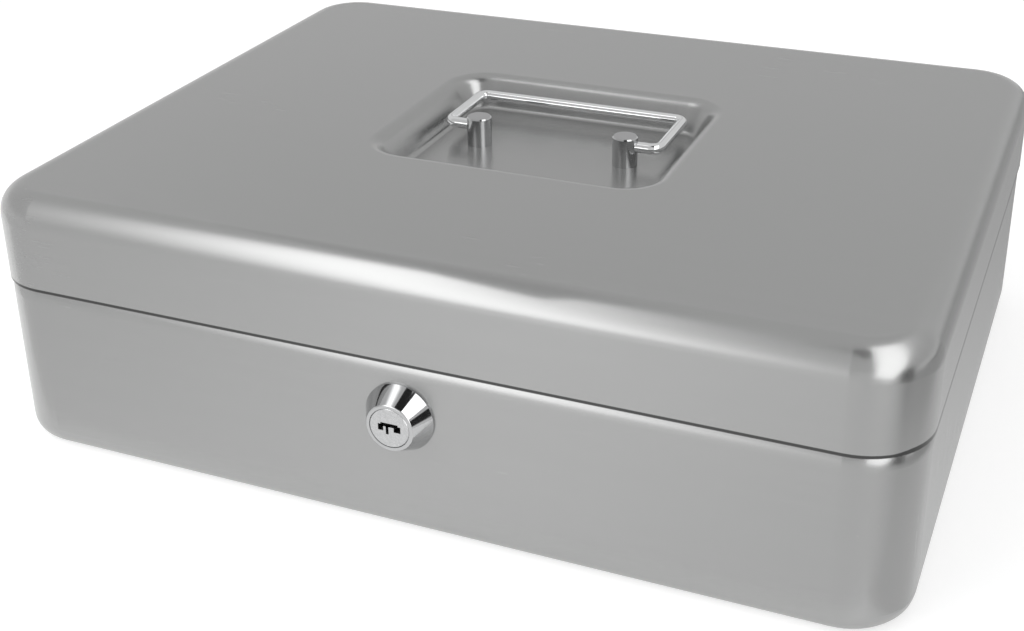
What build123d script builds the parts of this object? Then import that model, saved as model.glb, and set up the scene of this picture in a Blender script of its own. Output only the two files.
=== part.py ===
from build123d import *
from math import cos, radians, sqrt
import os

# Steel cash box. Millimetres. The origin is the centre of the underside, +Z is up,
# the front with its lock faces -Y, and +X is to the right of someone who faces the front.

# Overall size
width = 300
depth = 240
seam_height = 59
lid_height = 31
sheet = 1.0
corner_radius = 21
lid_edge_radius = 9
base_edge_radius = 7
lid_overhang = 0.5

# Joggled rim of the base, which stands inside the lid
rim_height = 8
rim_gap = 0.5
shoulder_radius = 8
shoulder_inside_radius = 4
shoulder_gap = 0.5

# Clearances
pin_fit = 0.05
hole_fit = 0.1
swing_gap = 0.3
weld_margin = 1.5

# Pan sunk into the lid
pan_length = 101
pan_breadth = 84
pan_y = 0.7
pan_depth = 11
pan_draft = 30
pan_corner_radius = 13
pan_rim_radius = 5
pan_floor_radius = 2.5

# Handle posts, their screws and the bail
post_spacing = 54.5
post_y = 2
post_diameter = 8.8
post_height = 10.4
post_chamfer = 0.4
post_screw_diameter = 4
post_screw_grip = 4
post_screw_head_diameter = 7.5
post_screw_head_height = 2.4
screw_head_chamfer = 0.8
driver_slot_width = 1.1
driver_slot_depth = 1.1
post_washer_diameter = 9
post_washer_thickness = 0.8
bail_wire = 3.8
bail_pivot_drop = 3.5
bail_spacing = 78.5
bail_reach = 30
bail_corner_radius = 3.2
bail_stub_depth = 5

# Hinges
hinge_spacing = 190
hinge_width = 40
hinge_leaf = 1.2
hinge_pin_diameter = 3
hinge_pin_head = 0.8
hinge_pin_head_radius = 2.2
hinge_pin_head_draft = 20
hinge_base_knuckle = 12
hinge_base_leaf_height = 23
hinge_leaf_corner = 4

# Cam lock
lock_drop = 17.5
collar_diameter = 22.3
collar_face_diameter = 15
collar_projection = 7.2
collar_land = 0.7
collar_edge_radius = 0.5
barrel_diameter = 18
barrel_flats = 16
barrel_length = 17
plug_head_diameter = 12.9
plug_head_length = 3
plug_face_chamfer = 0.25
plug_diameter = 11
keyway_width = 7.3
keyway_height = 2.1
keyway_left_end = 1.7
keyway_right_end = 2.2
keyway_web = 1.2
keyway_web_rise = 1
keyway_nib = 0.9
keyway_nib_drop = 2.1
keyway_nib_offset = 0.7
keyway_depth = 19
wafer_count = 5
wafer_pitch = 2.8
wafer_thickness = 0.8
wafer_height = 6.4
wafer_first = 1.8
wafer_window_height = 4.2
wafer_window_play = 0.1
lock_washer_diameter = 26
lock_washer_thickness = 1
lock_nut_flats = 22
lock_nut_thickness = 4
lock_nut_chamfer_angle = 30

# Cam and its screw
cam_thickness = 2
cam_width = 9
cam_reach = 18
cam_hub_radius = 6.5
cam_tip_radius = 2.7
cam_drive = 6
cam_gap = 0.2
cam_washer_diameter = 9
cam_washer_thickness = 0.8
cam_screw_diameter = 4
cam_screw_head_diameter = 7
cam_screw_head_height = 2.2
cam_screw_grip = 5.5

# Catch that hangs from the lid beside the lock
catch_x = 10.5
catch_width = 11.5
catch_strip = 1.2
catch_bend_radius = 1.8
catch_play = 0.5
catch_rim_gap = 1.5
catch_lip = 5

# Coin tray and the two rests that carry it
tray_side_gap = 3.5
tray_rear_gap = 3.5
tray_lock_gap = 2.3
tray_seam_gap = 1.5
tray_height = 30
tray_wall = 1.6
tray_lip = 2
tray_corner_radius = 24
tray_cup_count = 5
tray_cup_length = 88
tray_scoop_radius = 22
tray_trough_count = 3
tray_trough_radius = 8
tray_rest_length = 170
tray_rest_ledge = 9
tray_rest_leg = 14
tray_rest_sheet = 1.2
tray_rest_corner = 3.5
finger_notch_width = 34
finger_notch_depth = 10


def rounded_block(length, breadth, radius, low, high, low_radius=0, high_radius=0):
    """Upright block with rounded corners in plan and rounded lower or upper edges."""
    with BuildPart() as block:
        with BuildSketch(Plane.XY.offset(low)):
            RectangleRounded(length, breadth, radius)
        extrude(amount=high - low)
        if low_radius:
            fillet(block.edges().group_by(Axis.Z)[0], low_radius)
        if high_radius:
            fillet(block.edges().group_by(Axis.Z)[-1], high_radius)
    return block.part


os.makedirs("parts", exist_ok=True)

# Base sizes that follow from the lid
height = seam_height + lid_height
base_length = width - 2 * lid_overhang
base_breadth = depth - 2 * lid_overhang
base_radius = corner_radius - lid_overhang
rim_inset = sheet + rim_gap - lid_overhang
rim_top = seam_height + rim_height
front_face_y = -base_breadth / 2
base_inner_x = base_length / 2 - sheet
base_inner_y = base_breadth / 2 - sheet

# Hinge axis: the leaf lies on the inner face of the rear wall and runs into its knuckle
knuckle_bore = hinge_pin_diameter / 2 + pin_fit
knuckle_radius = knuckle_bore + hinge_leaf
knuckle_sweep = knuckle_radius + swing_gap
hinge_y = base_inner_y + knuckle_bore
hinge_z = seam_height
hinge_notch = hinge_width + 2 * (hinge_pin_head + 2 * swing_gap)

# Shoulder: it curves in from the wall and meets the rim just under the lid's edge,
# and its inner bend starts above the hinge leaves
shoulder_drop = shoulder_radius - sqrt(shoulder_radius**2 - (shoulder_radius - rim_inset) ** 2)
shoulder_top = seam_height - shoulder_gap + shoulder_drop
cavity_top = seam_height - knuckle_sweep + shoulder_inside_radius

# Lock planes: the wall plane faces forwards, the section plane is upright along the axis
lock_height = seam_height - lock_drop
lock_wall = Plane(origin=(0, front_face_y, lock_height), x_dir=(1, 0, 0), z_dir=(0, -1, 0))
lock_section = Plane(origin=(0, front_face_y, lock_height), x_dir=(0, 1, 0), z_dir=(1, 0, 0))
lock_axis = Axis((0, front_face_y, lock_height), (0, 1, 0))

# Base shell
base_cavity = rounded_block(
    base_length - 2 * sheet,
    base_breadth - 2 * sheet,
    base_radius - sheet,
    sheet,
    cavity_top,
    low_radius=base_edge_radius - sheet,
    high_radius=shoulder_inside_radius,
)
rim_block = rounded_block(
    base_length - 2 * rim_inset,
    base_breadth - 2 * rim_inset,
    base_radius - rim_inset,
    seam_height - shoulder_radius,
    rim_top,
)
rim_cavity = rounded_block(
    base_length - 2 * (rim_inset + sheet),
    base_breadth - 2 * (rim_inset + sheet),
    base_radius - rim_inset - sheet,
    seam_height - shoulder_radius,
    rim_top,
)
base_block = rounded_block(
    base_length,
    base_breadth,
    base_radius,
    0,
    shoulder_top,
    low_radius=base_edge_radius,
    high_radius=shoulder_radius,
)
with BuildPart() as base_shell:
    add(base_block)
    add(rim_block)
    add(base_cavity, mode=Mode.SUBTRACT)
    add(rim_cavity, mode=Mode.SUBTRACT)
    # Notches through the rim and the top of the wall for the hinge knuckles
    with BuildSketch(Plane.XY.offset(rim_top)):
        with GridLocations(hinge_spacing, 0, 2, 1):
            with Locations((0, base_breadth / 2 - rim_inset)):
                Rectangle(hinge_notch, 4 * (rim_inset + sheet))
    extrude(amount=-(rim_height + knuckle_sweep), mode=Mode.SUBTRACT)
    # Hole for the lock barrel, with flats at its sides
    with BuildSketch(lock_wall):
        Circle(barrel_diameter / 2 + hole_fit)
        Rectangle(barrel_flats + 2 * hole_fit, 2 * barrel_diameter, mode=Mode.INTERSECT)
    extrude(amount=-2 * sheet, mode=Mode.SUBTRACT)
base_shell.part.label = "base_shell"
export_step(base_shell.part, "parts/base_shell.step")

# Lid shell
floor_height = height - pan_depth
pan_underside = floor_height - sheet
pan_wall = sheet / cos(radians(pan_draft))
lid_block = rounded_block(
    width, depth, corner_radius, seam_height, height, high_radius=lid_edge_radius
)
lid_cavity = rounded_block(
    width - 2 * sheet,
    depth - 2 * sheet,
    corner_radius - sheet,
    seam_height,
    height - sheet,
    high_radius=lid_edge_radius - sheet,
)
with BuildPart() as pan_cavity:
    with BuildSketch(Plane.XY.offset(height)):
        with Locations((0, pan_y)):
            RectangleRounded(pan_length, pan_breadth, pan_corner_radius)
    extrude(amount=-pan_depth, taper=pan_draft)
    fillet(pan_cavity.edges().group_by(Axis.Z)[0], pan_floor_radius)
with BuildPart() as pan_envelope:
    with BuildSketch(Plane.XY.offset(height)):
        with Locations((0, pan_y)):
            RectangleRounded(
                pan_length + 2 * pan_wall, pan_breadth + 2 * pan_wall, pan_corner_radius + pan_wall
            )
    extrude(amount=-(pan_depth + sheet), taper=pan_draft)
    fillet(pan_envelope.edges().group_by(Axis.Z)[0], pan_floor_radius + sheet)
with BuildPart() as lid_shell:
    add(lid_block)
    add(lid_cavity, mode=Mode.SUBTRACT)
    add(pan_envelope.part)
    add(pan_cavity.part, mode=Mode.SUBTRACT)
    # Rolled rim of the pan, above and below the sheet
    lid_top = lid_shell.faces().filter_by(Plane.XY).sort_by(Axis.Z)[-1]
    fillet(lid_top.inner_wires()[0].edges(), pan_rim_radius)
    lid_ceiling = lid_shell.faces().filter_by(Plane.XY).sort_by(SortBy.AREA)[-1]
    fillet(lid_ceiling.inner_wires()[0].edges(), pan_rim_radius - sheet)
    # Screw holes of the handle posts
    with Locations((0, post_y, floor_height)):
        with GridLocations(post_spacing, 0, 2, 1):
            Hole(post_screw_diameter / 2 + hole_fit, depth=2 * sheet)
    # Notches in the rear skirt over the hinge knuckles
    with BuildSketch(Plane.XY.offset(seam_height)):
        with GridLocations(hinge_spacing, 0, 2, 1):
            with Locations((0, depth / 2)):
                Rectangle(hinge_notch, 4 * sheet)
    extrude(amount=knuckle_sweep, mode=Mode.SUBTRACT)
lid_shell.part.label = "lid_shell"
export_step(lid_shell.part, "parts/lid_shell.step")

# Hinges: two leaves and a pin on each side, all worked out from the pin's axis
leaf_inner = hinge_y - knuckle_radius
lid_leaf_shift = depth / 2 - sheet - base_inner_y
lid_knuckle = hinge_width - 2 * hinge_base_knuckle - 2 * swing_gap
lid_weld_top = height - lid_edge_radius - weld_margin
for side, hinge_x in (("left", -hinge_spacing / 2), ("right", hinge_spacing / 2)):
    hinge_start = hinge_x - hinge_width / 2
    with BuildPart() as base_leaf:
        with BuildSketch(Plane.YZ.offset(hinge_start)):
            with Locations((leaf_inner, hinge_z - hinge_base_leaf_height)):
                Rectangle(
                    hinge_leaf,
                    hinge_base_leaf_height - knuckle_sweep,
                    align=(Align.MIN, Align.MIN),
                )
        extrude(amount=hinge_width)
        fillet(base_leaf.edges().filter_by(Axis.Y).group_by(Axis.Z)[0], hinge_leaf_corner)
        for knuckle_start in (hinge_start, hinge_start + hinge_width - hinge_base_knuckle):
            with BuildSketch(Plane.YZ.offset(knuckle_start)):
                with Locations((hinge_y, hinge_z)):
                    Circle(knuckle_radius)
                with Locations((leaf_inner, hinge_z)):
                    Rectangle(hinge_leaf, knuckle_sweep, align=(Align.MIN, Align.MAX))
                with Locations((hinge_y, hinge_z)):
                    Circle(knuckle_bore, mode=Mode.SUBTRACT)
            extrude(amount=hinge_base_knuckle)
    base_leaf.part.label = f"hinge_base_leaf_{side}"
    export_step(base_leaf.part, f"parts/hinge_base_leaf_{side}.step")

    with BuildPart() as lid_leaf:
        # The plate is cranked so that it lies on the skirt, outside the base wall's line
        with BuildSketch(Plane.YZ.offset(hinge_start)):
            with BuildLine():
                Polyline(
                    (leaf_inner, hinge_z + knuckle_sweep),
                    (leaf_inner, hinge_z + knuckle_sweep + hinge_leaf),
                    (leaf_inner + lid_leaf_shift, hinge_z + knuckle_sweep + 2 * hinge_leaf),
                    (leaf_inner + lid_leaf_shift, lid_weld_top),
                    (leaf_inner + lid_leaf_shift + hinge_leaf, lid_weld_top),
                    (leaf_inner + lid_leaf_shift + hinge_leaf, hinge_z + knuckle_sweep + 2 * hinge_leaf),
                    (leaf_inner + hinge_leaf, hinge_z + knuckle_sweep + hinge_leaf),
                    (leaf_inner + hinge_leaf, hinge_z + knuckle_sweep),
                    close=True,
                )
            make_face()
        extrude(amount=hinge_width)
        fillet(lid_leaf.edges().filter_by(Axis.Y).group_by(Axis.Z)[-1], hinge_leaf_corner)
        with BuildSketch(Plane.YZ.offset(hinge_x - lid_knuckle / 2)):
            with Locations((hinge_y, hinge_z)):
                Circle(knuckle_radius)
            with Locations((leaf_inner, hinge_z)):
                Rectangle(hinge_leaf, knuckle_sweep, align=(Align.MIN, Align.MIN))
            with Locations((hinge_y, hinge_z)):
                Circle(knuckle_bore, mode=Mode.SUBTRACT)
        extrude(amount=lid_knuckle)
    lid_leaf.part.label = f"hinge_lid_leaf_{side}"
    export_step(lid_leaf.part, f"parts/hinge_lid_leaf_{side}.step")

    pin_start = hinge_start - pin_fit
    with BuildPart() as hinge_pin:
        with BuildSketch(Plane.YZ.offset(pin_start)):
            with Locations((hinge_y, hinge_z)):
                Circle(hinge_pin_diameter / 2)
        extrude(amount=hinge_width + 2 * pin_fit)
        # Peened heads outside the end knuckles
        for head_x, head_side in ((pin_start, -1), (pin_start + hinge_width + 2 * pin_fit, 1)):
            with BuildSketch(Plane.YZ.offset(head_x)):
                with Locations((hinge_y, hinge_z)):
                    Circle(hinge_pin_head_radius)
            extrude(amount=head_side * hinge_pin_head, taper=hinge_pin_head_draft)
    hinge_pin.part.label = f"hinge_pin_{side}"
    export_step(hinge_pin.part, f"parts/hinge_pin_{side}.step")

# Handle posts, cross-drilled for the bail and drilled from below for their screws
pivot_height = floor_height + post_height - bail_pivot_drop
for side, hand in (("left", -1), ("right", 1)):
    post_x = hand * post_spacing / 2
    outer_side = hand * (post_spacing + post_diameter) / 2
    with BuildPart() as handle_post:
        with BuildSketch(Plane.XY.offset(floor_height)):
            with Locations((post_x, post_y)):
                Circle(post_diameter / 2)
        extrude(amount=post_height)
        chamfer(handle_post.edges().group_by(Axis.Z)[-1], post_chamfer)
        with BuildSketch(Plane.YZ.offset(outer_side)):
            with Locations((post_y, pivot_height)):
                Circle(bail_wire / 2 + pin_fit)
        extrude(amount=-hand * (bail_stub_depth + swing_gap), mode=Mode.SUBTRACT)
        with BuildSketch(Plane.XY.offset(floor_height)):
            with Locations((post_x, post_y)):
                Circle(post_screw_diameter / 2 + pin_fit)
        extrude(amount=post_screw_grip + hole_fit, mode=Mode.SUBTRACT)
    handle_post.part.label = f"handle_post_{side}"
    export_step(handle_post.part, f"parts/handle_post_{side}.step")

with BuildPart() as post_washers:
    with BuildSketch(Plane.XY.offset(pan_underside - post_washer_thickness)):
        with Locations((0, post_y)):
            with GridLocations(post_spacing, 0, 2, 1):
                Circle(post_washer_diameter / 2)
                Circle(post_screw_diameter / 2 + hole_fit, mode=Mode.SUBTRACT)
    extrude(amount=post_washer_thickness)
post_washers.part.label = "post_washers"
export_step(post_washers.part, "parts/post_washers.step")

post_screw_seat = pan_underside - post_washer_thickness
with BuildPart() as post_screws:
    with BuildSketch(Plane.XY.offset(post_screw_seat)):
        with Locations((0, post_y)):
            with GridLocations(post_spacing, 0, 2, 1):
                Circle(post_screw_head_diameter / 2)
    extrude(amount=-post_screw_head_height)
    chamfer(post_screws.edges().group_by(Axis.Z)[0], screw_head_chamfer)
    with BuildSketch(Plane.XY.offset(post_screw_seat)):
        with Locations((0, post_y)):
            with GridLocations(post_spacing, 0, 2, 1):
                Circle(post_screw_diameter / 2)
    extrude(amount=post_washer_thickness + sheet + post_screw_grip)
    # Driver slots
    with BuildSketch(Plane.XY.offset(post_screw_seat - post_screw_head_height)):
        with Locations((0, post_y)):
            with GridLocations(post_spacing, 0, 2, 1):
                Rectangle(post_screw_head_diameter, driver_slot_width)
    extrude(amount=driver_slot_depth, mode=Mode.SUBTRACT)
post_screws.part.label = "post_screws"
export_step(post_screws.part, "parts/post_screws.step")

# Bail: one bent wire whose ends turn in the posts, lying back over the pan floor
stub_x = (post_spacing + post_diameter) / 2 - bail_stub_depth
arm_x = bail_spacing / 2
bar_y = post_y + bail_reach
with BuildPart() as handle_bail:
    with BuildLine() as bail_path:
        FilletPolyline(
            (stub_x, post_y, pivot_height),
            (arm_x, post_y, pivot_height),
            (arm_x, bar_y, pivot_height),
            (-arm_x, bar_y, pivot_height),
            (-arm_x, post_y, pivot_height),
            (-stub_x, post_y, pivot_height),
            radius=bail_corner_radius,
        )
    with BuildSketch(Plane.YZ.offset(stub_x)):
        with Locations((post_y, pivot_height)):
            Circle(bail_wire / 2)
    sweep(path=bail_path.wire())
handle_bail.part.label = "handle_bail"
export_step(handle_bail.part, "parts/handle_bail.step")

# Lock barrel: cone collar outside, threaded body with flats inside, bored for the plug
plug_bore = plug_diameter / 2 + pin_fit
plug_head_bore = plug_head_diameter / 2 + pin_fit
plug_shoulder = plug_head_length - collar_projection
with BuildPart() as lock_barrel:
    with BuildSketch(lock_section):
        with BuildLine():
            Polyline(
                (-collar_projection, plug_head_bore),
                (-collar_projection, collar_face_diameter / 2),
                (-collar_land, collar_diameter / 2),
                (0, collar_diameter / 2),
                (0, barrel_diameter / 2),
                (barrel_length, barrel_diameter / 2),
                (barrel_length, plug_bore),
                (plug_shoulder + hole_fit, plug_bore),
                (plug_shoulder + hole_fit, plug_head_bore),
                close=True,
            )
        make_face()
    revolve(axis=lock_axis)
    front_edges = lock_barrel.edges().filter_by(GeomType.CIRCLE).group_by(Axis.Y)[0]
    fillet(front_edges.sort_by(SortBy.RADIUS)[-1], collar_edge_radius)
    with BuildSketch(lock_wall):
        Rectangle(2 * barrel_diameter, 2 * barrel_diameter)
        Rectangle(barrel_flats, 2 * barrel_diameter, mode=Mode.SUBTRACT)
    extrude(amount=-barrel_length, mode=Mode.SUBTRACT)
lock_barrel.part.label = "lock_barrel"
export_step(lock_barrel.part, "parts/lock_barrel.step")

# Plug: head, shank and square drive, with the keyway, wafer slots and screw hole
cam_front = barrel_length + cam_gap
cam_back = cam_front + cam_thickness
keyway_start = -collar_projection
with BuildPart() as lock_plug:
    with BuildSketch(lock_section):
        with BuildLine():
            Polyline(
                (keyway_start, 0),
                (keyway_start, plug_head_diameter / 2),
                (plug_shoulder, plug_head_diameter / 2),
                (plug_shoulder, plug_diameter / 2),
                (cam_front, plug_diameter / 2),
                (cam_front, 0),
                close=True,
            )
        make_face()
    revolve(axis=lock_axis)
    chamfer(lock_plug.edges().filter_by(GeomType.CIRCLE).group_by(Axis.Y)[0], plug_face_chamfer)
    with BuildSketch(lock_wall.offset(-cam_front)):
        Rectangle(cam_drive, cam_drive)
    extrude(amount=-(cam_thickness - hole_fit))
    # Keyway with its wards: two open ends joined by a raised web, and a nib that hangs from it
    with BuildSketch(lock_wall.offset(collar_projection)):
        with Locations((-keyway_width / 2, 0)):
            Rectangle(keyway_left_end, keyway_height, align=(Align.MIN, Align.CENTER))
        with Locations((keyway_width / 2, 0)):
            Rectangle(keyway_right_end, keyway_height, align=(Align.MAX, Align.CENTER))
        with Locations((0, keyway_web_rise)):
            Rectangle(keyway_width - keyway_left_end, keyway_web)
        with Locations((-keyway_nib_offset, keyway_web_rise)):
            Rectangle(keyway_nib, keyway_web_rise + keyway_nib_drop, align=(Align.CENTER, Align.MAX))
    extrude(amount=-keyway_depth, mode=Mode.SUBTRACT)
    for index in range(wafer_count):
        slot_front = plug_shoulder + wafer_first + index * wafer_pitch - pin_fit
        with BuildSketch(lock_wall.offset(-slot_front)):
            Rectangle(plug_head_diameter, wafer_height + 2 * pin_fit)
        extrude(amount=-(wafer_thickness + 2 * pin_fit), mode=Mode.SUBTRACT)
    with BuildSketch(lock_wall.offset(-cam_back)):
        Circle(cam_screw_diameter / 2 + pin_fit)
    extrude(amount=cam_screw_grip + hole_fit, mode=Mode.SUBTRACT)
lock_plug.part.label = "lock_plug"
export_step(lock_plug.part, "parts/lock_plug.step")

# Wafers, drawn in to the plug's surface as a key holds them
for index in range(wafer_count):
    wafer_front = plug_shoulder + wafer_first + index * wafer_pitch
    with BuildPart() as lock_wafer:
        with BuildSketch(lock_wall.offset(-wafer_front)):
            Circle(plug_diameter / 2)
            Rectangle(plug_diameter, wafer_height, mode=Mode.INTERSECT)
            Rectangle(
                keyway_width + 2 * wafer_window_play, wafer_window_height, mode=Mode.SUBTRACT
            )
        extrude(amount=-wafer_thickness)
    lock_wafer.part.label = f"lock_wafer_{index + 1}"
    export_step(lock_wafer.part, f"parts/lock_wafer_{index + 1}.step")

# Washer and nut that clamp the barrel to the wall
with BuildPart() as lock_washer:
    with BuildSketch(lock_wall.offset(-sheet)):
        Circle(lock_washer_diameter / 2)
        Circle(barrel_diameter / 2 + hole_fit, mode=Mode.SUBTRACT)
    extrude(amount=-lock_washer_thickness)
lock_washer.part.label = "lock_washer"
export_step(lock_washer.part, "parts/lock_washer.step")

nut_seat = sheet + lock_washer_thickness
with BuildPart() as lock_nut:
    with BuildSketch(lock_wall.offset(-nut_seat)):
        RegularPolygon(lock_nut_flats / 2, 6, major_radius=False)
    extrude(amount=-lock_nut_thickness)
    # A cone trims the six corners on the open side
    with BuildSketch(lock_wall.offset(-nut_seat - lock_nut_thickness)):
        Circle(lock_nut_flats / 2)
    extrude(
        amount=lock_nut_thickness, taper=-(90 - lock_nut_chamfer_angle), mode=Mode.INTERSECT
    )
    with BuildSketch(lock_wall.offset(-nut_seat)):
        Circle(barrel_diameter / 2 + pin_fit)
    extrude(amount=-lock_nut_thickness, mode=Mode.SUBTRACT)
lock_nut.part.label = "lock_nut"
export_step(lock_nut.part, "parts/lock_nut.step")

# Cam on the square end of the plug, pointing up while the box is unlocked
with BuildPart() as lock_cam:
    with BuildSketch(lock_wall.offset(-cam_front)) as cam_outline:
        Circle(cam_hub_radius)
        Rectangle(cam_width, cam_reach, align=(Align.CENTER, Align.MIN))
        fillet(cam_outline.vertices().group_by(Axis.Y)[-1], cam_tip_radius)
        Rectangle(cam_drive + 2 * pin_fit, cam_drive + 2 * pin_fit, mode=Mode.SUBTRACT)
    extrude(amount=-cam_thickness)
lock_cam.part.label = "lock_cam"
export_step(lock_cam.part, "parts/lock_cam.step")

with BuildPart() as cam_washer:
    with BuildSketch(lock_wall.offset(-cam_back)):
        Circle(cam_washer_diameter / 2)
        Circle(cam_screw_diameter / 2 + hole_fit, mode=Mode.SUBTRACT)
    extrude(amount=-cam_washer_thickness)
cam_washer.part.label = "cam_washer"
export_step(cam_washer.part, "parts/cam_washer.step")

cam_screw_seat = cam_back + cam_washer_thickness
with BuildPart() as cam_screw:
    with BuildSketch(lock_wall.offset(-cam_screw_seat)):
        Circle(cam_screw_head_diameter / 2)
    extrude(amount=-cam_screw_head_height)
    chamfer(cam_screw.edges().filter_by(GeomType.CIRCLE).group_by(Axis.Y)[-1], screw_head_chamfer)
    with BuildSketch(lock_wall.offset(-cam_screw_seat)):
        Circle(cam_screw_diameter / 2)
    extrude(amount=cam_washer_thickness + cam_screw_grip)
    with BuildSketch(lock_wall.offset(-(cam_screw_seat + cam_screw_head_height))):
        Rectangle(cam_screw_head_diameter, driver_slot_width)
    extrude(amount=driver_slot_depth, mode=Mode.SUBTRACT)
cam_screw.part.label = "cam_screw"
export_step(cam_screw.part, "parts/cam_screw.step")

# Catch: a strip bent from the lid's front skirt over the rim and down to a lip under the cam
lid_front_y = sheet - depth / 2
catch_flange_y = lid_front_y + catch_strip / 2
catch_strip_y = front_face_y + cam_front - catch_play - catch_strip / 2
catch_web_z = rim_top + catch_rim_gap + catch_strip / 2
catch_lip_z = lock_height - cam_width / 2 - catch_play - catch_strip / 2
with BuildPart() as lid_catch:
    with BuildSketch(Plane.YZ.offset(catch_x)):
        with BuildLine() as catch_line:
            FilletPolyline(
                (catch_flange_y, lid_weld_top),
                (catch_flange_y, catch_web_z),
                (catch_strip_y, catch_web_z),
                (catch_strip_y, catch_lip_z),
                (catch_strip_y + catch_lip, catch_lip_z),
                radius=catch_bend_radius,
            )
        trace(line_width=catch_strip)
    extrude(amount=catch_width)
lid_catch.part.label = "lid_catch"
export_step(lid_catch.part, "parts/lid_catch.step")

# Tray rests: angle strips welded to the side walls
tray_rest_height = seam_height - tray_seam_gap - tray_height
for side, hand in (("left", -1), ("right", 1)):
    wall_x = hand * base_inner_x
    inner_align = Align.MIN if hand < 0 else Align.MAX
    with BuildPart() as tray_rest:
        with BuildSketch(Plane.XZ.offset(-tray_rest_length / 2)):
            with Locations((wall_x, tray_rest_height)):
                Rectangle(tray_rest_ledge, tray_rest_sheet, align=(inner_align, Align.MAX))
                Rectangle(tray_rest_sheet, tray_rest_leg, align=(inner_align, Align.MAX))
        extrude(amount=tray_rest_length)
        ledge_ends = tray_rest.edges().filter_by(Axis.Z).group_by(Axis.X)
        fillet(ledge_ends[-1 if hand < 0 else 0], tray_rest_corner)
    tray_rest.part.label = f"tray_rest_{side}"
    export_step(tray_rest.part, f"parts/tray_rest_{side}.step")

# Coin tray: a row of scooped coin cups in front and a row of troughs behind
tray_top = tray_rest_height + tray_height
tray_length = 2 * (base_inner_x - tray_side_gap)
tray_front_y = front_face_y + cam_screw_seat + cam_screw_head_height + tray_lock_gap
tray_breadth = base_inner_y - tray_rear_gap - tray_front_y
tray_y = tray_front_y + tray_breadth / 2
body_length = tray_length - 2 * tray_lip
body_breadth = tray_breadth - 2 * tray_lip
body_front = tray_front_y + tray_lip
body_back = body_front + body_breadth
cup_front = body_front + tray_wall
cup_back = cup_front + tray_cup_length
trough_front = cup_back + tray_wall
trough_back = body_back - tray_wall
cup_width = (body_length - (tray_cup_count + 1) * tray_wall) / tray_cup_count
trough_width = (body_length - (tray_trough_count + 1) * tray_wall) / tray_trough_count


def tray_row(length, front, back, low, radius):
    """Bar across the tray whose lower long edges are rounded, for a row of cups."""
    with BuildPart() as row:
        with BuildSketch(Plane.XY.offset(low)):
            with Locations((0, (front + back) / 2)):
                Rectangle(length, back - front)
        extrude(amount=tray_top - low)
        fillet(row.edges().filter_by(Axis.X).group_by(Axis.Z)[0], radius)
    return row.part


cup_row = tray_row(
    body_length, body_front, cup_back + tray_wall, tray_rest_height, tray_scoop_radius + tray_wall
)
trough_row = tray_row(
    body_length, cup_back, body_back, tray_rest_height, tray_trough_radius + tray_wall
)
cup_cavity = tray_row(
    cup_width, cup_front, cup_back, tray_rest_height + tray_wall, tray_scoop_radius
)
trough_cavity = tray_row(
    trough_width, trough_front, trough_back, tray_rest_height + tray_wall, tray_trough_radius
)
with BuildPart() as tray_cavities:
    with GridLocations(cup_width + tray_wall, 0, tray_cup_count, 1):
        add(cup_cavity)
    with GridLocations(trough_width + tray_wall, 0, tray_trough_count, 1):
        add(trough_cavity)
    # The outermost cups follow the rounded corners of the tray
    with BuildSketch(Plane.XY.offset(tray_rest_height)):
        with Locations((0, tray_y)):
            RectangleRounded(
                body_length - 2 * tray_wall,
                body_breadth - 2 * tray_wall,
                tray_corner_radius - tray_lip - tray_wall,
            )
    extrude(amount=tray_height, mode=Mode.INTERSECT)
with BuildPart() as coin_tray:
    add(cup_row)
    add(trough_row)
    with BuildSketch(Plane.XY.offset(tray_rest_height)):
        with Locations((0, tray_y)):
            RectangleRounded(body_length, body_breadth, tray_corner_radius - tray_lip)
    extrude(amount=tray_height, mode=Mode.INTERSECT)
    # Lip round the top edge
    with BuildSketch(Plane.XY.offset(tray_top)):
        with Locations((0, tray_y)):
            RectangleRounded(tray_length, tray_breadth, tray_corner_radius)
    extrude(amount=-tray_wall)
    add(tray_cavities.part, mode=Mode.SUBTRACT)
    # Finger notches in both ends, by which the tray is lifted out
    for end_x, inward in ((-tray_length / 2, 1), (tray_length / 2, -1)):
        with BuildSketch(Plane.YZ.offset(end_x)):
            with Locations(((trough_front + trough_back) / 2, tray_top)):
                SlotOverall(finger_notch_width, 2 * finger_notch_depth)
        extrude(amount=inward * 2 * (tray_lip + tray_wall), mode=Mode.SUBTRACT)
coin_tray.part.label = "coin_tray"
export_step(coin_tray.part, "parts/coin_tray.step")
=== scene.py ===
import math

import bpy
import bmesh
from mathutils import Matrix, Vector

# Looks of the steel cash box: finishes, studio and camera. Metres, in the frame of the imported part.

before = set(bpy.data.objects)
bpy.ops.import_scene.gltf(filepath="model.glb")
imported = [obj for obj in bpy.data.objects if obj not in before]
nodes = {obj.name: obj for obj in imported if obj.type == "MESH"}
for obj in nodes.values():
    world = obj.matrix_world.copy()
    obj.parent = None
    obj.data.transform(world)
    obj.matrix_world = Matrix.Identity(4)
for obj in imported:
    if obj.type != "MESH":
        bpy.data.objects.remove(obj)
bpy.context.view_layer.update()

MM = 0.001

# Photograph's frame and viewpoint
PHOTO_WIDTH = 1024
PHOTO_HEIGHT = 631
CAMERA_PLACE = Vector((184.05, -462.94, 281.17)) * MM
CAMERA_YAW = -0.405
CAMERA_PITCH = 0.428
CAMERA_ROLL = -0.016
FOCAL_PIXELS = 1536.6
AXIS_ROW = 221.2
SENSOR_WIDTH = 36

# Linear colours of the finishes
SILVER = (0.368, 0.370, 0.368)
CHROME = (0.49, 0.493, 0.497)
# The bail's chrome is a lighter copy of the same plating, set brighter to paint a wider white highlight on
# the wire
BAIL_CHROME_BRIGHTENED = (0.78, 0.785, 0.79)
ZINC = (0.50, 0.51, 0.50)
BRASS = (0.62, 0.44, 0.16)
TRAY_BLACK = (0.018, 0.018, 0.019)
FLOOR_WHITE = (0.66, 0.66, 0.66)

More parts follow.
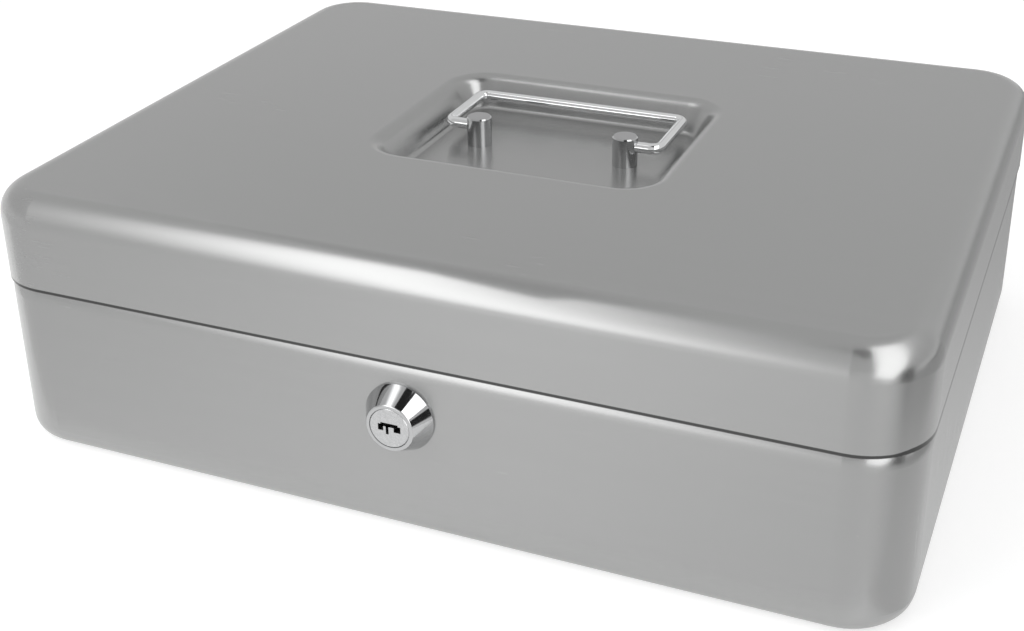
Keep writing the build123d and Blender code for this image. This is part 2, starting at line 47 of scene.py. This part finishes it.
# Darkest and lightest tone of each finish, as shares of its colour
SILVER_TONES = (0.985, 1.015)
CHROME_TONES = (0.97, 1.0)
PLUG_TONES = (0.98, 1.12)
ZINC_TONES = (0.9, 1.08)
BRASS_TONES = (0.85, 1.0)
TRAY_TONES = (0.85, 1.15)

# Lowest and highest roughness of each finish
SILVER_ROUGHNESS = (0.245, 0.275)
CHROME_ROUGHNESS = (0.045, 0.09)
PLUG_ROUGHNESS = (0.16, 0.30)
ZINC_ROUGHNESS = (0.27, 0.42)
BRASS_ROUGHNESS = (0.25, 0.4)
TRAY_ROUGHNESS = (0.38, 0.5)

# Where most of a noise's values lie
NOISE_LOW = 0.3
NOISE_HIGH = 0.7

# Features of the silver's noises per metre along X, Y and Z
GRAIN_ALONG_WIDTH = (45, 2600, 2600)
GRAIN_ALONG_HEIGHT = (45, 2600, 45)
CLOUDS = (9, 14, 14)
STREAKS = (6, 420, 420)

# Shares of the grain and of the clouds and streaks in the silver's tone, and the range that they span
GRAIN_IN_TONE = 0.5
CLOUDS_IN_TONE = 0.25
TONE_RANGE = (0.35, 0.65)

# Shares of the grain and of the clouds in the silver's roughness
GRAIN_IN_ROUGHNESS = 0.6
CLOUDS_IN_ROUGHNESS = 0.4

# How far sideways the surface faces where the grain turns, the grain's direction, and the tangent's lean
GRAIN_TURN = (0.6, 0.8)
GRAIN_LINES = (1, 0, 0)
TANGENT_LEAN = (0, 0.3, 0)

# Cut face on top of a post: its share of the plating's colour, and how far upward the surface faces there
CUT_FACE_TONE = 0.78
CUT_FACE_TURN = (0.99, 0.998)

# Studio
FLOOR_RADIUS = 6.0
FLOOR_SIDES = 96
FLOOR_LIFT = 0.58
FLOOR_FADE = (0.25, 0.75)
SKY_LEVEL = 0.73
SKY_RAMP = (0.05, 0.3)
BOX_MIDDLE = (0, -0.12, 0.07)
FLAG_LEVEL = 0.03
CARD_MIDDLE = 0.001
CARD_END_FADE = 0.001

# Painted shade: a dark line painted where the lid meets the shoulder of the base, in place of the shadow in
# the joint
SEAM_SHADE = 0.85
SEAM_SHADE_TONE = 0.05
SEAM_SHADE_FOOT = 0.0582
SEAM_SHADE_TOP = 0.0598
SEAM_SHADE_FADE = 0.0002
SEAM_SIDE_RISE = 0.0005


def add_camera():
    """Camera at the photograph's viewpoint, with a small vertical shift for its framing."""
    forward = Vector((
        math.sin(CAMERA_YAW) * math.cos(CAMERA_PITCH),
        math.cos(CAMERA_YAW) * math.cos(CAMERA_PITCH),
        -math.sin(CAMERA_PITCH),
    ))
    level_right = Vector((math.cos(CAMERA_YAW), -math.sin(CAMERA_YAW), 0))
    level_up = level_right.cross(forward)
    right = math.cos(CAMERA_ROLL) * level_right + math.sin(CAMERA_ROLL) * level_up
    up = math.cos(CAMERA_ROLL) * level_up - math.sin(CAMERA_ROLL) * level_right
    data = bpy.data.cameras.new("camera")
    data.sensor_width = SENSOR_WIDTH
    data.lens = FOCAL_PIXELS * SENSOR_WIDTH / PHOTO_WIDTH
    data.shift_y = (AXIS_ROW - PHOTO_HEIGHT / 2) / PHOTO_WIDTH
    camera = bpy.data.objects.new("camera", data)
    camera.matrix_world = matrix_of(right, up, -forward, CAMERA_PLACE)
    bpy.context.scene.collection.objects.link(camera)
    bpy.context.scene.camera = camera


def matrix_of(x_axis, y_axis, z_axis, place):
    """Matrix of an object with these axes at a place."""
    return Matrix((
        (x_axis.x, y_axis.x, z_axis.x, place[0]),
        (x_axis.y, y_axis.y, z_axis.y, place[1]),
        (x_axis.z, y_axis.z, z_axis.z, place[2]),
        (0, 0, 0, 1),
    ))


class Tree:
    """The nodes of a material or the world, with short calls for those that repeat."""

    def __init__(self, owner):
        owner.use_nodes = True
        self.nodes = owner.node_tree.nodes
        self.links = owner.node_tree.links

    def node(self, kind, inputs=None, **settings):
        made = self.nodes.new(kind)
        for name, value in settings.items():
            setattr(made, name, value)
        for key, value in (inputs or {}).items():
            if isinstance(value, bpy.types.NodeSocket):
                self.links.new(value, made.inputs[key])
            else:
                made.inputs[key].default_value = value
        return made

    def place(self):
        """Place on the piece, in metres, which stays with the piece when it moves."""
        return self.node("ShaderNodeTexCoord").outputs["Object"]

    def normal(self):
        """Direction that the surface faces, in the piece's own axes."""
        return self.node("ShaderNodeTexCoord").outputs["Normal"]

    def parts(self, vector):
        """The three parts of a vector, under the names X, Y and Z."""
        return self.node("ShaderNodeSeparateXYZ", {0: vector}).outputs

    def vector(self, operation, first, second):
        return self.node("ShaderNodeVectorMath", {0: first, 1: second}, operation=operation).outputs[0]

    def math(self, operation, first, second=0.0):
        return self.node("ShaderNodeMath", {0: first, 1: second}, operation=operation).outputs[0]

    def ranged(self, value, low, high, from_low=NOISE_LOW, from_high=NOISE_HIGH, curve="LINEAR"):
        """Value spread from one range to another and kept inside the new one."""
        made = self.node("ShaderNodeMapRange", {
            "Value": value, "From Min": from_low, "From Max": from_high, "To Min": low, "To Max": high,
        }, interpolation_type=curve)
        return made.outputs[0]


class Shader(Tree):
    """A material with one Principled shader and short calls for the nodes that drive it."""

    def __init__(self, name, **values):
        self.material = bpy.data.materials.new(name)
        super().__init__(self.material)
        self.surface = self.nodes["Principled BSDF"]
        for socket, value in values.items():
            self.surface.inputs[socket].default_value = value

    def set(self, socket, value):
        self.links.new(value, self.surface.inputs[socket])

    def noise(self, vector, scale=1.0, detail=2.0):
        made = self.node("ShaderNodeTexNoise", {"Vector": vector, "Scale": scale, "Detail": detail})
        return made.outputs["Fac"]

    def tinted(self, factor, colour, tones):
        """Colour between a dark and a light tone of one linear colour."""
        dark, light = (shade(colour, tone) for tone in tones)
        made = self.node("ShaderNodeMix", {"Factor": factor, 6: (*dark, 1), 7: (*light, 1)}, data_type="RGBA")
        return made.outputs[2]

    def blended(self, factor, under, over):
        """Colour of a socket, covered by a plain linear colour."""
        made = self.node("ShaderNodeMix", {"Factor": factor, 6: under, 7: (*over, 1)}, data_type="RGBA")
        return made.outputs[2]

    def bump(self, height, strength, distance):
        made = self.node("ShaderNodeBump", {"Height": height, "Strength": strength, "Distance": distance})
        self.set("Normal", made.outputs["Normal"])


def shade(colour, factor):
    return tuple(channel * factor for channel in colour)


def seam_painted_shade(s, place, on_side):
    """Share of painted shade that darkens the joint under the lid's cut edge, in place of its shadow."""
    height = s.parts(place)["Z"]
    above = s.ranged(height, 0.0, 1.0, SEAM_SHADE_FOOT - SEAM_SHADE_FADE, SEAM_SHADE_FOOT)
    lowered = s.math("SUBTRACT", height, s.math("MULTIPLY", on_side, SEAM_SIDE_RISE))
    below = s.ranged(lowered, 1.0, 0.0, SEAM_SHADE_TOP, SEAM_SHADE_TOP + SEAM_SHADE_FADE)
    return s.math("MULTIPLY", s.math("MULTIPLY", above, below), SEAM_SHADE)


def silver_paint():
    """Satin silver over brushed sheet: fine grain along the width that turns down the side walls."""
    s = Shader("silver_satin", Metallic=0.85, Anisotropic=0.7)
    place = s.place()
    sideways = s.math("ABSOLUTE", s.parts(s.normal())["X"])
    on_side = s.ranged(sideways, 0.0, 1.0, *GRAIN_TURN)
    # Grain lines run along X on the top, front and back, and along Z on the side walls
    along_width = s.noise(s.vector("MULTIPLY", place, GRAIN_ALONG_WIDTH), detail=3.0)
    along_height = s.noise(s.vector("MULTIPLY", place, GRAIN_ALONG_HEIGHT), detail=3.0)
    grain = s.node("ShaderNodeMix", {"Factor": on_side, 2: along_width, 3: along_height}).outputs[0]
    cloud = s.noise(s.vector("MULTIPLY", place, CLOUDS), detail=4.0)
    streak = s.noise(s.vector("MULTIPLY", place, STREAKS), detail=2.0)
    soft_tone = s.math("MULTIPLY", s.math("ADD", cloud, streak), CLOUDS_IN_TONE)
    tone = s.math("ADD", s.math("MULTIPLY", grain, GRAIN_IN_TONE), soft_tone)
    paint = s.tinted(s.ranged(tone, 0, 1, *TONE_RANGE), SILVER, SILVER_TONES)
    # Painted shade: the colour turns nearly black along the joint under the lid's edge, in place of its
    # shadow
    s.set("Base Color", s.blended(seam_painted_shade(s, place, on_side), paint, shade(SILVER, SEAM_SHADE_TONE)))
    fine_share = s.math("MULTIPLY", grain, GRAIN_IN_ROUGHNESS)
    cloud_share = s.math("MULTIPLY", cloud, CLOUDS_IN_ROUGHNESS)
    s.set("Roughness", s.ranged(s.math("ADD", fine_share, cloud_share), *SILVER_ROUGHNESS))
    s.bump(grain, strength=0.018, distance=0.04 * MM)
    # The blur lies across the grain
    across = s.vector("CROSS_PRODUCT", s.normal(), GRAIN_LINES)
    leaning = s.vector("ADD", across, TANGENT_LEAN)
    world = s.node(
        "ShaderNodeVectorTransform", {0: leaning},
        vector_type="VECTOR", convert_from="OBJECT", convert_to="WORLD",
    )
    s.set("Tangent", world.outputs[0])
    return s.material


def chrome(name, colour):
    """Polished chrome with faint polishing haze, and a duller cut face on top of a post."""
    s = Shader(name, Metallic=1.0)
    haze = s.noise(s.place(), scale=260, detail=4.0)
    cut_face = s.ranged(s.parts(s.normal())["Z"], 0, 1, *CUT_FACE_TURN)
    plating = s.tinted(s.ranged(haze, 0, 1), colour, CHROME_TONES)
    s.set("Base Color", s.blended(cut_face, plating, shade(colour, CUT_FACE_TONE)))
    s.set("Roughness", s.ranged(haze, *CHROME_ROUGHNESS))
    return s.material


def plug_metal():
    """Die-cast plug under a duller plating, with fine pits."""
    s = Shader("plug_plate", Metallic=1.0)
    pits = s.noise(s.place(), scale=1400, detail=3.0)
    s.set("Base Color", s.tinted(s.ranged(pits, 0, 1), CHROME, PLUG_TONES))
    s.set("Roughness", s.ranged(pits, *PLUG_ROUGHNESS))
    s.bump(pits, strength=0.2, distance=0.03 * MM)
    return s.material


def zinc_plate():
    """Dull zinc plating with a fine spangle."""
    s = Shader("zinc_plating", Metallic=1.0)
    place = s.place()
    spangle = s.noise(place, scale=900, detail=3.0)
    cloud = s.noise(place, scale=60, detail=3.0)
    s.set("Base Color", s.tinted(s.ranged(cloud, 0, 1), ZINC, ZINC_TONES))
    s.set("Roughness", s.ranged(spangle, *ZINC_ROUGHNESS))
    s.bump(spangle, strength=0.15, distance=0.05 * MM)
    return s.material


def wafer_brass():
    """Stamped brass with a cloudy tone."""
    s = Shader("stamped_brass", Metallic=1.0)
    cloud = s.noise(s.place(), scale=700, detail=3.0)
    s.set("Base Color", s.tinted(s.ranged(cloud, 0, 1), BRASS, BRASS_TONES))
    s.set("Roughness", s.ranged(cloud, *BRASS_ROUGHNESS))
    return s.material


def tray_plastic():
    """Moulded black plastic with a fine eroded texture."""
    s = Shader("moulded_black")
    place = s.place()
    texture = s.noise(place, scale=1500, detail=2.0)
    cloud = s.noise(place, scale=35, detail=3.0)
    s.set("Base Color", s.tinted(s.ranged(cloud, 0, 1), TRAY_BLACK, TRAY_TONES))
    s.set("Roughness", s.ranged(cloud, *TRAY_ROUGHNESS))
    s.bump(texture, strength=0.25, distance=0.12 * MM)
    return s.material


def dress(material, *names):
    """Gives CAD nodes a finish, without touching their shapes."""
    for name in names:
        for slot in nodes[name].material_slots:
            slot.material = material


def emptied(owner):
    """Node tree of a material or the world, without the nodes that it starts with."""
    t = Tree(owner)
    t.nodes.clear()
    return t


def floor_material():
    """Matt white floor that fades into plain white background far from the box."""
    material = bpy.data.materials.new("studio_floor")
    t = emptied(material)
    matt = t.node("ShaderNodeBsdfDiffuse", {"Color": (*FLOOR_WHITE, 1)})
    # Lifts the floor to white for the camera and for reflections, with its shadow kept
    rays = t.node("ShaderNodeLightPath").outputs
    direct = t.math("MAXIMUM", rays["Is Camera Ray"], rays["Is Glossy Ray"])
    seen = t.math("MAXIMUM", direct, rays["Is Transmission Ray"])
    lift = t.node("ShaderNodeEmission", {"Strength": t.math("MULTIPLY", seen, FLOOR_LIFT)})
    lifted = t.node("ShaderNodeAddShader", {0: matt.outputs[0], 1: lift.outputs[0]})
    distance = t.node("ShaderNodeVectorMath", {0: t.place()}, operation="LENGTH").outputs["Value"]
    far = t.ranged(distance, 0.0, 1.0, *FLOOR_FADE, curve="SMOOTHSTEP")
    white = t.node("ShaderNodeEmission", {"Strength": 1.0})
    mix = t.node("ShaderNodeMixShader", {"Fac": far, 1: lifted.outputs[0], 2: white.outputs[0]})
    t.node("ShaderNodeOutputMaterial", {"Surface": mix.outputs[0]})
    return material


def add_meshed(name, shape, material):
    """Object with the mesh of a finished shape, linked to the scene."""
    mesh = bpy.data.meshes.new(name)
    shape.to_mesh(mesh)
    shape.free()
    mesh.materials.append(material)
    made = bpy.data.objects.new(name, mesh)
    bpy.context.scene.collection.objects.link(made)
    return made


def add_floor():
    """Round floor with its middle under the box."""
    shape = bmesh.new()
    bmesh.ops.create_circle(shape, cap_ends=True, segments=FLOOR_SIDES, radius=FLOOR_RADIUS)
    floor = add_meshed("floor", shape, floor_material())


def card_material(name, level, peak, spread, half_length, left_stretch):
    """Glow of a studio card: a level over all of it and a soft peak along its middle line."""
    material = bpy.data.materials.new(name)
    t = emptied(material)
    place = t.parts(t.place())
    # The peak fades at the very ends of the card, and may fall off sooner over its left half
    from_middle = t.math("ABSOLUTE", place["Y"])
    crest = t.ranged(from_middle, peak, 0.0, half_length - CARD_END_FADE, half_length, curve="SMOOTHSTEP")
    stretch = t.ranged(place["X"], left_stretch, 1.0, -CARD_MIDDLE, CARD_MIDDLE)
    squared = t.math("POWER", t.math("MULTIPLY", place["X"], stretch), 2.0)
    bell = t.math("EXPONENT", t.math("MULTIPLY", squared, -0.5 / spread**2))
    strength = t.math("ADD", t.math("MULTIPLY", bell, crest), level)
    glow = t.node("ShaderNodeEmission", {"Strength": strength})
    t.node("ShaderNodeOutputMaterial", {"Surface": glow.outputs[0]})
    return material


def add_card(
    name, place, aim, size, lean=0.0, level=0.01, peak=0.0, spread=1.0, left_stretch=1.0, lights=False
):
    """Card that faces a point, leaning sideways by an angle. Unless it lights, only reflections show it."""
    facing = (Vector(aim) - Vector(place)).normalized()
    side = facing.cross(Vector((0, 0, 1))).normalized()
    upright = side.cross(facing)
    across = math.cos(lean) * side + math.sin(lean) * upright
    along = math.cos(lean) * upright - math.sin(lean) * side
    corners = ((-1, -1), (1, -1), (1, 1), (-1, 1))
    shape = bmesh.new()
    shape.faces.new([shape.verts.new((x * size[0] / 2, y * size[1] / 2, 0)) for x, y in corners])
    card = add_meshed(name, shape, card_material(name, level, peak, spread, size[1] / 2, left_stretch))
    card.matrix_world = matrix_of(across, along, -facing, place)
    card.visible_camera = card.visible_shadow = False
    card.visible_diffuse = lights


def add_world():
    """Pale studio round the box: white at the horizon and light grey above it."""
    world = bpy.data.worlds.new("studio")
    bpy.context.scene.world = world
    t = emptied(world)
    rise = t.parts(t.node("ShaderNodeTexCoord").outputs["Generated"])["Z"]
    sky = t.ranged(rise, 1.0, SKY_LEVEL, *SKY_RAMP, curve="SMOOTHSTEP")
    lit = t.node("ShaderNodeBackground", {"Color": sky, "Strength": 1.0})
    t.node("ShaderNodeOutputWorld", {"Surface": lit.outputs[0]})


add_camera()
dress(silver_paint(), "base_shell", "lid_shell", "tray_rest_left", "tray_rest_right")
dress(chrome("chrome_plate", CHROME), "handle_post_left", "handle_post_right", "lock_barrel")
# Painted highlight: the bail gets a brighter copy of the chrome so that its wire shows a wider white band
dress(chrome("bail_plate_brightened", BAIL_CHROME_BRIGHTENED), "handle_bail")
dress(plug_metal(), "lock_plug")
dress(
    zinc_plate(), "hinge_base_leaf_left", "hinge_base_leaf_right", "hinge_lid_leaf_left",
    "hinge_lid_leaf_right", "hinge_pin_left", "hinge_pin_right", "post_screws", "post_washers",
    "lock_washer", "lock_nut", "lock_cam", "cam_washer", "cam_screw", "lid_catch",
)
dress(wafer_brass(), *[name for name in nodes if name.startswith("lock_wafer")])
dress(tray_plastic(), "coin_tray")
add_floor()
add_world()

# Soft panels that the front edge, the front corner and the lock reflect
add_card(
    "panel_left", place=(-0.311, -0.65, 0.436), aim=BOX_MIDDLE, size=(0.9, 1.6), lean=0.459,
    level=SKY_LEVEL, peak=2.4, spread=0.14, left_stretch=1.25, lights=True,
)
add_card(
    "panel_right", place=(0.300, -0.214, 0.275), aim=BOX_MIDDLE, size=(0.208, 0.736), lean=-0.584, level=2.7,
)

# Dark cards that the lock and the right side reflect
add_card("flag_high", place=(0.27, -0.38, 1.25), aim=BOX_MIDDLE, size=(0.62, 0.56), level=FLAG_LEVEL)
add_card("flag_low", place=(0.32, -0.17, 0.055), aim=BOX_MIDDLE, size=(0.07, 0.13), level=FLAG_LEVEL)
add_card("flag_side", place=(1.0, 0.9, 0.06), aim=(0.1, 0.0, 0.06), size=(1.9, 0.09), level=0.15)

# Tones of the floor that the walls reflect. A card's aim stands a hair off straight up, to set its turn
add_card("floor_card", place=(0.75, 0.545, 0.002), aim=(0.7501, 0.545, 1.0), size=(1.41, 1.0), level=0.54)
add_card(
    "floor_pool", place=(0.202, -0.1, 0.001), aim=(0.2021, -0.1, 1.0), size=(1.6, 0.1),
    level=0.56, peak=0.30, spread=0.13,
)
add_card(
    "floor_front", place=(0.0, -0.73, 0.002), aim=(0.0, -0.7299, 1.0), size=(3.0, 1.2),
    level=0.87, peak=0.25, spread=0.12,
)

# Grey card that the pan reflects
add_card("flag_pan", place=(-0.045, -0.06, 0.167), aim=(0, 0.042, 0.085), size=(0.2, 0.12), level=0.58)

bpy.context.scene.view_settings.view_transform = "Standard"
